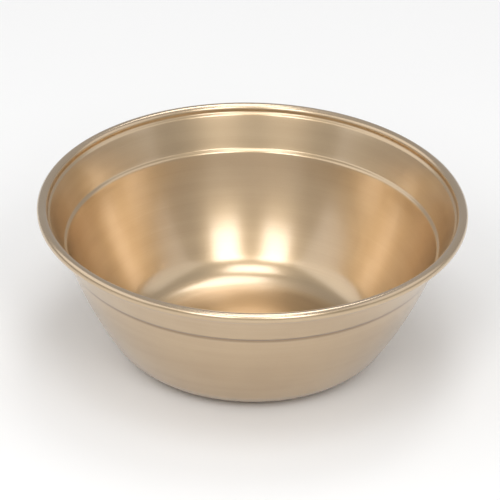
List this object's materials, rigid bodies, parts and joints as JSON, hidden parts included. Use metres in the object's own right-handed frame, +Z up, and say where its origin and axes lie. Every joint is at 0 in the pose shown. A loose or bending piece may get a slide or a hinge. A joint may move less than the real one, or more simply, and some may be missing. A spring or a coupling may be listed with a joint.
{
  "type": "metal bowl",
  "caption": "Round gold-coloured metal bowl with a rolled wired rim, a stepped shoulder under it, a curved wall and a flat base.",
  "frame": {"origin": "middle of the flat base's underside, on the surface that the bowl stands on", "axes": "+Z up along the bowl's axis of revolution, +X and +Y any two directions across the rim"},
  "size_m": [0.16, 0.16, 0.0595],
  "materials": {
    "gold_sheet": "gold anodised, satin, with fine lines from spinning",
    "steel_wire": "plain drawn wire, hidden in the rolled rim"
  },
  "bodies": {
    "root": {"bowl_shell": "gold_sheet", "rim_wire": "steel_wire"}
  },
  "joints": []
}
